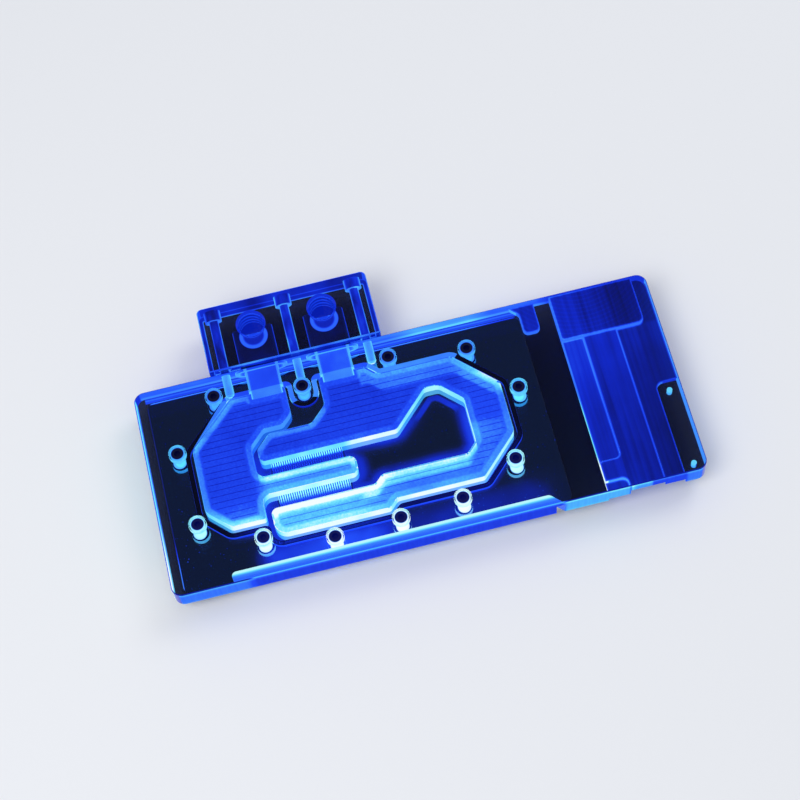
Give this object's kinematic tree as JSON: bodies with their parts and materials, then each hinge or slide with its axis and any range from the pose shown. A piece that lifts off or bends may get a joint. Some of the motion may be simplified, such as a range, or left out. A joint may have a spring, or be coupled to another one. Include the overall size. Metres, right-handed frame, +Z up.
{
  "type": "gpu water block",
  "caption": "Full-cover graphics card water block: clear acrylic cover with milled channels, finned metal plate, and a screwed-on port block.",
  "frame": {"origin": "middle of the underside of the whole block's box, on the surface that the standoffs rest on", "axes": "+X along the cover's long side towards its free end, +Y towards the port block, +Z up, away from the card"},
  "size_m": [0.25, 0.14, 0.0229],
  "materials": {
    "acrylic": "clear cast acrylic, polished faces and milled cuts, lit blue",
    "nickel": "copper with a dark mirror-bright nickel plate",
    "rubber": "black nitrile rubber",
    "black_steel": "black oxide steel, slightly glossy",
    "brass": "turned brass, satin",
    "board": "white flexible circuit board",
    "lights": "white light bodies with a blue glow",
    "resistor": "black chip resistors with pale ends",
    "tape": "white double-sided foam tape"
  },
  "bodies": {
    "root": {"cover_plate": "acrylic", "port_block": "acrylic", "cold_plate": "nickel", "main_seal_ring": "rubber", "port_seal_left": "rubber", "port_seal_right": "rubber", "port_block_screw_left": "black_steel", "port_block_screw_middle": "black_steel", "port_block_screw_right": "black_steel", "cover_screws": "black_steel", "light_tape": "tape", "light_board": "board", "light_chips": "lights", "light_resistors": "resistor", "core_standoffs": "brass", "board_standoffs": "brass"}
  },
  "joints": []
}
